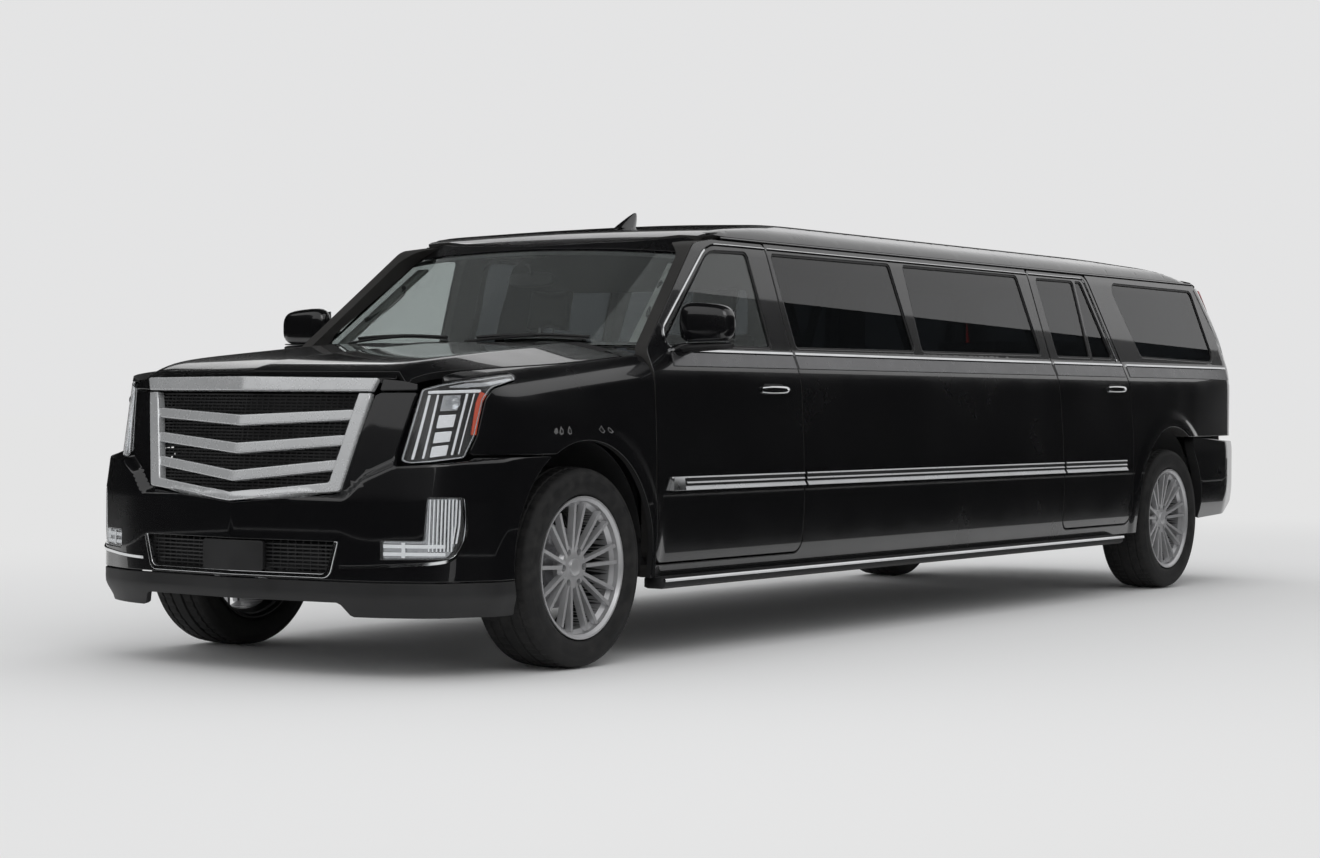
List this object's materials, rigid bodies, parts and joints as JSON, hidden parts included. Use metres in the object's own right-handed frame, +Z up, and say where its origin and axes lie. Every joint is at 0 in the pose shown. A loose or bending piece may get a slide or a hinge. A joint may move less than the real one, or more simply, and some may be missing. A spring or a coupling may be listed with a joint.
{
  "type": "stretch limousine",
  "caption": "Full-size four-door SUV body stretched into a long-wheelbase limousine, with a lounge cabin, lifting tailgate and wide bar grille.",
  "frame": {"origin": "on the ground, under the middle of the overall length and width", "axes": "+Z up, nose towards -Y, the car's own left side towards +X"},
  "size_m": [2.4618, 8.2226, 1.9398],
  "materials": {
    "body_paint": "gloss black",
    "black_trim": "satin black",
    "chrome": "polished",
    "clear_glass": "clear",
    "privacy_glass": "dark tinted",
    "lamp": "clear lens",
    "tail_lamp": "red lens",
    "underbody": "satin black",
    "cast_metal": "as cast",
    "engine": "as cast",
    "steel": "machined",
    "alloy": "grey satin",
    "tyre": "matt",
    "leather": "black leather",
    "cabin_trim": "soft black",
    "cabinet": "dark gloss"
  },
  "bodies": {
    "body": {"bar_cabinet": "cabinet", "body_side_left": "body_paint", "body_side_right": "body_paint", "cabin_divider": "cabin_trim", "chassis_frame": "underbody", "corner_lamps": "lamp", "cowl_panel": "black_trim", "dashboard": "cabin_trim", "drive_shaft": "steel", "engine": "engine", "exhaust": "steel", "floor_pan": "underbody", "frame_crossmembers": "underbody", "front_bumper": "body_paint", "front_fenders": "body_paint", "front_seats": "leather", "front_suspension": "cast_metal", "fuel_tank": "black_trim", "grille": "chrome", "headlamps": "lamp", "radiator": "black_trim", "rear_axle": "cast_metal", "rear_bench": "leather", "rear_bumper": "body_paint", "roof_panel": "body_paint", "running_boards": "black_trim", "side_bench": "leather", "side_glass": "privacy_glass", "tail_lamps": "tail_lamp", "wheel_housings": "black_trim", "windshield": "clear_glass"},
    "front_door_left": {"front_door_left": "body_paint", "front_door_glass_left": "clear_glass", "door_mirror_left": "body_paint"},
    "rear_door_left": {"rear_door_left": "body_paint", "rear_door_glass_left": "privacy_glass"},
    "knuckle_left": {"front_knuckle_left": "cast_metal"},
    "front_wheel_left": {"front_rim_left": "alloy", "front_tyre_left": "tyre", "front_brake_disc_left": "steel"},
    "rear_wheel_left": {"rear_rim_left": "alloy", "rear_tyre_left": "tyre", "rear_brake_disc_left": "steel"},
    "front_door_right": {"front_door_right": "body_paint", "front_door_glass_right": "clear_glass", "door_mirror_right": "body_paint"},
    "rear_door_right": {"rear_door_right": "body_paint", "rear_door_glass_right": "privacy_glass"},
    "knuckle_right": {"front_knuckle_right": "cast_metal"},
    "front_wheel_right": {"front_rim_right": "alloy", "front_tyre_right": "tyre", "front_brake_disc_right": "steel"},
    "rear_wheel_right": {"rear_rim_right": "alloy", "rear_tyre_right": "tyre", "rear_brake_disc_right": "steel"},
    "hood": {"hood": "body_paint"},
    "tailgate": {"tailgate": "body_paint", "tailgate_glass": "privacy_glass"},
    "steering_wheel": {"steering_wheel": "leather"}
  },
  "joints": [
    {"name": "front_door_left_hinge", "type": "hinge", "parent": "body", "child": "front_door_left", "pos_m": [1.024, -2.6185, 0.9], "axis": [0, 0, -1], "range_deg": [0, 65]},
    {"name": "rear_door_left_hinge", "type": "hinge", "parent": "body", "child": "rear_door_left", "pos_m": [1.024, 1.3755, 0.9], "axis": [0, 0, -1], "range_deg": [0, 65]},
    {"name": "front_door_right_hinge", "type": "hinge", "parent": "body", "child": "front_door_right", "pos_m": [-1.024, -2.6185, 0.9], "axis": [0, 0, 1], "range_deg": [0, 65]},
    {"name": "rear_door_right_hinge", "type": "hinge", "parent": "body", "child": "rear_door_right", "pos_m": [-1.024, 1.3755, 0.9], "axis": [0, 0, 1], "range_deg": [0, 65]},
    {"name": "hood_hinge", "type": "hinge", "parent": "body", "child": "hood", "pos_m": [0, -2.6945, 1.29], "axis": [-1, 0, 0], "range_deg": [0, 50]},
    {"name": "tailgate_hinge", "type": "hinge", "parent": "body", "child": "tailgate", "pos_m": [0, 3.5795, 1.84], "axis": [1, 0, 0], "range_deg": [0, 85]},
    {"name": "steer_left", "type": "hinge", "parent": "body", "child": "knuckle_left", "pos_m": [0.8, -3.1245, 0.4075], "axis": [0, 0, 1], "range_deg": [-32, 32]},
    {"name": "steer_right", "type": "hinge", "parent": "body", "child": "knuckle_right", "pos_m": [-0.8, -3.1245, 0.4075], "axis": [0, 0, 1], "range_deg": [-32, 32]},
    {"name": "steering_wheel_turn", "type": "hinge", "parent": "body", "child": "steering_wheel", "pos_m": [0.43, -2.1395, 1.13], "axis": [0, 0.9135, 0.4067], "range_deg": [-450, 450]},
    {"name": "front_wheel_left_spin", "type": "hinge", "parent": "knuckle_left", "child": "front_wheel_left", "pos_m": [0.8725, -3.1245, 0.4075], "axis": [1, 0, 0], "continuous": true},
    {"name": "rear_wheel_left_spin", "type": "hinge", "parent": "body", "child": "rear_wheel_left", "pos_m": [0.8725, 2.8695, 0.4075], "axis": [1, 0, 0], "continuous": true},
    {"name": "front_wheel_right_spin", "type": "hinge", "parent": "knuckle_right", "child": "front_wheel_right", "pos_m": [-0.8725, -3.1245, 0.4075], "axis": [1, 0, 0], "continuous": true},
    {"name": "rear_wheel_right_spin", "type": "hinge", "parent": "body", "child": "rear_wheel_right", "pos_m": [-0.8725, 2.8695, 0.4075], "axis": [1, 0, 0], "continuous": true}
  ],
  "couplings": [
    {"joint": "steer_right", "follows": "steer_left", "ratio": 1},
    {"joint": "steering_wheel_turn", "follows": "steer_left", "ratio": 14}
  ]
}
